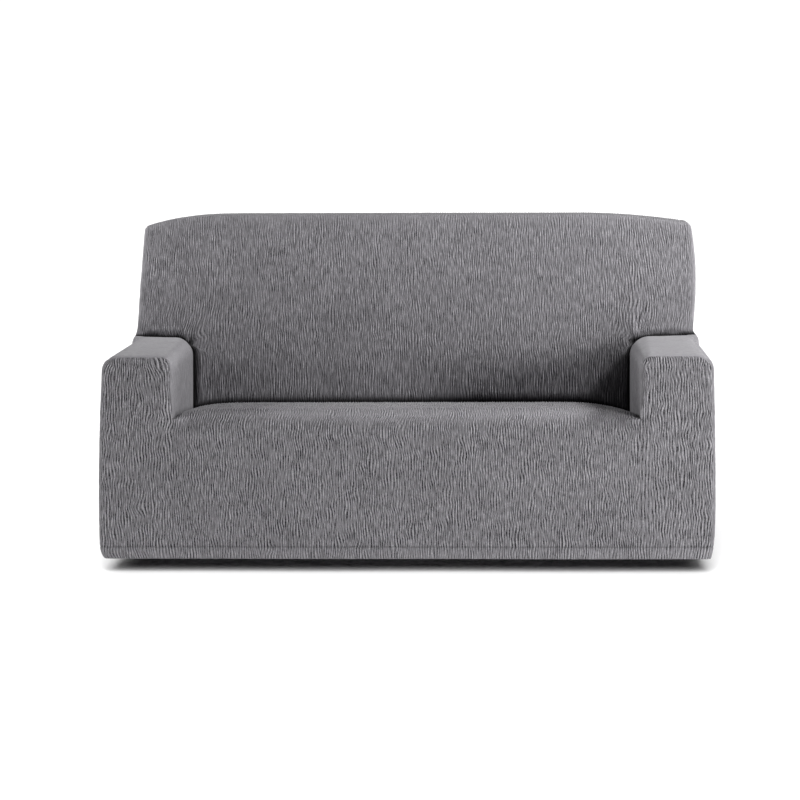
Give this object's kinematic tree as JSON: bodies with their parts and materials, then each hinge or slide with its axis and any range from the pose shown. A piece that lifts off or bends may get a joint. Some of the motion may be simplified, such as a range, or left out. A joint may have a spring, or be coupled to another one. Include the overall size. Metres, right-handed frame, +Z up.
{
  "type": "sofa slipcover",
  "caption": "Fitted stretch slipcover for a square-armed sofa, hollow and open at its hem, with the cloth tucked in round the seat",
  "frame": {"origin": "the underside of the cloth in the middle of the back's top, where the cover hangs on the sofa's back", "axes": "+X to the right as seen from the front, +Y to the rear, +Z up; the hem is level, 0.918 m below the origin"},
  "size_m": [1.7038, 0.8619, 0.9219],
  "materials": {
    "back_cloth": "matt crinkled stretch crepe, grey",
    "seat_cloth": "matt crinkled stretch crepe, grey",
    "sleeve_cloth": "matt stretch crepe, drawn nearly smooth, grey",
    "facing_cloth": "matt crinkled stretch crepe, grey"
  },
  "bodies": {
    "root": {"inside_back": "back_cloth", "outside_back": "back_cloth", "back_side_left": "back_cloth", "back_side_right": "back_cloth", "seat_front": "seat_cloth", "arm_sleeve_left": "sleeve_cloth", "arm_sleeve_right": "sleeve_cloth", "arm_front_left": "facing_cloth", "arm_front_right": "facing_cloth"}
  },
  "joints": []
}
